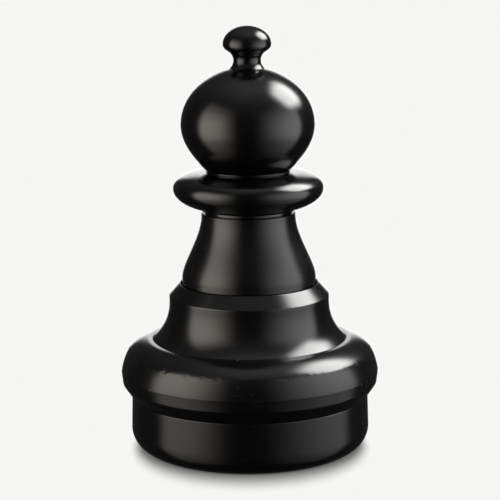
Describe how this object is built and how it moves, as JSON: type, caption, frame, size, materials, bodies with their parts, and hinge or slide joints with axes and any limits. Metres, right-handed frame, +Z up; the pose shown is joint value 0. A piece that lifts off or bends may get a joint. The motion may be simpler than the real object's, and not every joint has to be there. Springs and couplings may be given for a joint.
{
  "type": "giant lawn chess pawn",
  "caption": "Hollow black plastic garden chess pawn: ball head with mushroom finial, collar ring, bell waist, flared skirt and sand-filled drum base; sections plug and screw together.",
  "frame": {"origin": "on the ground, under the middle of the drum base", "axes": "+Z up along the axis of revolution; +X to the right and +Y away as seen from the front"},
  "size_m": [0.2616, 0.2616, 0.43],
  "materials": {
    "base_plastic": "satin black, lightly scuffed",
    "waist_plastic": "satin black",
    "head_plastic": "satin black, smooth",
    "seal_rubber": "matt",
    "screw_steel": "zinc plated",
    "sand": "dry, loose"
  },
  "bodies": {
    "base": {"base_drum": "base_plastic", "sand_fill": "sand", "skirt": "base_plastic", "base_screw_1": "screw_steel", "base_screw_2": "screw_steel", "base_screw_3": "screw_steel", "base_screw_4": "screw_steel", "base_washer_1": "screw_steel", "base_washer_2": "screw_steel", "base_washer_3": "screw_steel", "base_washer_4": "screw_steel"},
    "figure": {"waist": "waist_plastic", "spigot_ring": "seal_rubber", "collar": "head_plastic"},
    "neck_seal": {"neck_gasket": "seal_rubber"},
    "head": {"head": "head_plastic", "finial": "head_plastic", "finial_washer": "screw_steel", "finial_screw": "screw_steel"},
    "plug_seal": {"plug_gasket": "seal_rubber"},
    "plug": {"filler_plug": "base_plastic"}
  },
  "joints": [
    {"name": "figure_lift", "type": "slide", "parent": "base", "child": "figure", "axis": [0, 0, 1], "range_m": [0, 0.06]},
    {"name": "neck_rise", "type": "slide", "parent": "figure", "child": "neck_seal", "axis": [0, 0, 1], "range_m": [0, 0.0201]},
    {"name": "head_turn", "type": "hinge", "parent": "neck_seal", "child": "head", "pos_m": [0, 0, 0.28], "axis": [0, 0, 1], "range_deg": [0, 720]},
    {"name": "plug_drop", "type": "slide", "parent": "base", "child": "plug_seal", "axis": [0, 0, -1], "range_m": [0, 0.01255]},
    {"name": "plug_turn", "type": "hinge", "parent": "plug_seal", "child": "plug", "pos_m": [0, 0, 0.02], "axis": [0, 0, -1], "range_deg": [0, 900]}
  ],
  "couplings": [
    {"joint": "neck_rise", "follows": "head_turn", "m_per_rad": 0.0015915},
    {"joint": "plug_drop", "follows": "plug_turn", "m_per_rad": 0.00079577}
  ]
}
